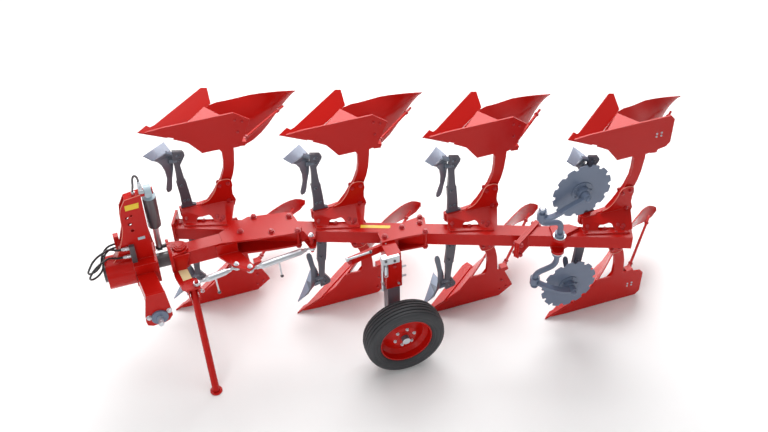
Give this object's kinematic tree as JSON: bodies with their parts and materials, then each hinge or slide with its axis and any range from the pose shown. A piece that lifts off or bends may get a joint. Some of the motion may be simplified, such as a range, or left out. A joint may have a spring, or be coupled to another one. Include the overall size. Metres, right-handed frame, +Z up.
{
  "type": "mounted reversible moldboard plough",
  "caption": "Mounted reversible mouldboard plough with paired bodies above and below an oblique beam, turnover headstock, depth wheel, disc coulters and parking stand.",
  "frame": {"origin": "centre of the footprint, on the ground", "axes": "+X points rearward along the working direction, +Y to the right of the plough, +Z up"},
  "size_m": [4.2369, 1.7946, 1.674],
  "materials": {
    "red_paint": "gloss",
    "grey_paint": "satin",
    "zinc_plate": "bright",
    "black_paint": "gloss",
    "tyre_rubber": "matte",
    "hose_rubber": "satin"
  },
  "bodies": {
    "plough_frame": {"beam_extension": "red_paint", "coulter_stalk_lower": "grey_paint", "coulter_stalk_upper": "grey_paint", "front_link": "red_paint", "leg_lower_1": "red_paint", "leg_lower_2": "red_paint", "leg_lower_3": "red_paint", "leg_lower_4": "red_paint", "leg_upper_1": "red_paint", "leg_upper_2": "red_paint", "leg_upper_3": "red_paint", "leg_upper_4": "red_paint", "link_bracket": "red_paint", "main_beam": "red_paint", "mouldboard_lower_1": "red_paint", "mouldboard_lower_2": "red_paint", "mouldboard_lower_3": "red_paint", "mouldboard_lower_4": "red_paint", "mouldboard_upper_1": "red_paint", "mouldboard_upper_2": "red_paint", "mouldboard_upper_3": "red_paint", "mouldboard_upper_4": "red_paint", "share_lower_1": "red_paint", "share_lower_2": "red_paint", "share_lower_3": "red_paint", "share_lower_4": "red_paint", "share_upper_1": "red_paint", "share_upper_2": "red_paint", "share_upper_3": "red_paint", "share_upper_4": "red_paint", "skimmer_lower_1": "grey_paint", "skimmer_lower_2": "grey_paint", "skimmer_lower_3": "grey_paint", "skimmer_lower_4": "grey_paint", "skimmer_upper_1": "grey_paint", "skimmer_upper_2": "grey_paint", "skimmer_upper_3": "grey_paint", "skimmer_upper_4": "grey_paint", "turnbuckle_front": "zinc_plate", "turnbuckle_rear": "zinc_plate", "turnover_head": "red_paint", "turnover_shaft": "grey_paint", "wheel_bracket": "red_paint"},
    "headstock": {"headstock_tower": "red_paint", "hitch_beam": "red_paint", "valve_pipe": "black_paint", "hose_lower": "hose_rubber", "hose_upper": "hose_rubber"},
    "cylinder_barrel": {"cylinder_barrel": "black_paint"},
    "cylinder_rod": {"cylinder_rod": "zinc_plate"},
    "wheel_arm": {"wheel_arm": "red_paint", "wheel_leg": "grey_paint", "depth_spindle": "zinc_plate"},
    "depth_wheel": {"wheel_rim": "red_paint", "wheel_tyre": "tyre_rubber"},
    "coulter_arm_upper": {"coulter_arm_upper": "grey_paint"},
    "coulter_arm_lower": {"coulter_arm_lower": "grey_paint"},
    "coulter_disc_upper": {"coulter_disc_upper": "grey_paint"},
    "coulter_disc_lower": {"coulter_disc_lower": "grey_paint"},
    "parking_stand": {"parking_stand": "red_paint"}
  },
  "joints": [
    {"name": "turnover", "type": "hinge", "parent": "plough_frame", "child": "headstock", "pos_m": [-1.65223, 0.04525, 0.837], "axis": [-1, 0, 0], "range_deg": [0, 180]},
    {"name": "cylinder_swing", "type": "hinge", "parent": "headstock", "child": "cylinder_barrel", "pos_m": [-1.67923, 0.04525, 1.444], "axis": [-1, 0, 0], "range_deg": [0, 20.56]},
    {"name": "cylinder_slide", "type": "slide", "parent": "cylinder_barrel", "child": "cylinder_rod", "axis": [0, 0.1842, -0.9829], "range_m": [-0.2, 0]},
    {"name": "wheel_swing", "type": "hinge", "parent": "plough_frame", "child": "wheel_arm", "pos_m": [-0.21523, -0.43475, 0.837], "axis": [0, 1, 0], "range_deg": [0, 180]},
    {"name": "wheel_spin", "type": "hinge", "parent": "wheel_arm", "child": "depth_wheel", "pos_m": [-0.22023, -0.68475, 0.287], "axis": [0, 1, 0], "continuous": true},
    {"name": "coulter_swivel_upper", "type": "hinge", "parent": "plough_frame", "child": "coulter_arm_upper", "pos_m": [0.73277, -0.72975, 1.137], "axis": [0, 0, 1], "range_deg": [-8, 8]},
    {"name": "coulter_swivel_lower", "type": "hinge", "parent": "plough_frame", "child": "coulter_arm_lower", "pos_m": [0.73277, -0.72975, 0.537], "axis": [0, 0, 1], "range_deg": [-8, 8]},
    {"name": "coulter_spin_upper", "type": "hinge", "parent": "coulter_arm_upper", "child": "coulter_disc_upper", "pos_m": [1.00577, -0.72975, 1.271], "axis": [0, 1, 0], "continuous": true},
    {"name": "coulter_spin_lower", "type": "hinge", "parent": "coulter_arm_lower", "child": "coulter_disc_lower", "pos_m": [1.00577, -0.72975, 0.403], "axis": [0, 1, 0], "continuous": true},
    {"name": "stand_fold", "type": "hinge", "parent": "plough_frame", "child": "parking_stand", "pos_m": [-1.53223, -0.16675, 0.677], "axis": [-1, 0, 0], "range_deg": [0, 90]}
  ],
  "couplings": [
    {"joint": "cylinder_swing", "follows": "turnover", "ratio": 0.11425},
    {"joint": "cylinder_slide", "follows": "turnover", "m_per_rad": -0.063544}
  ]
}
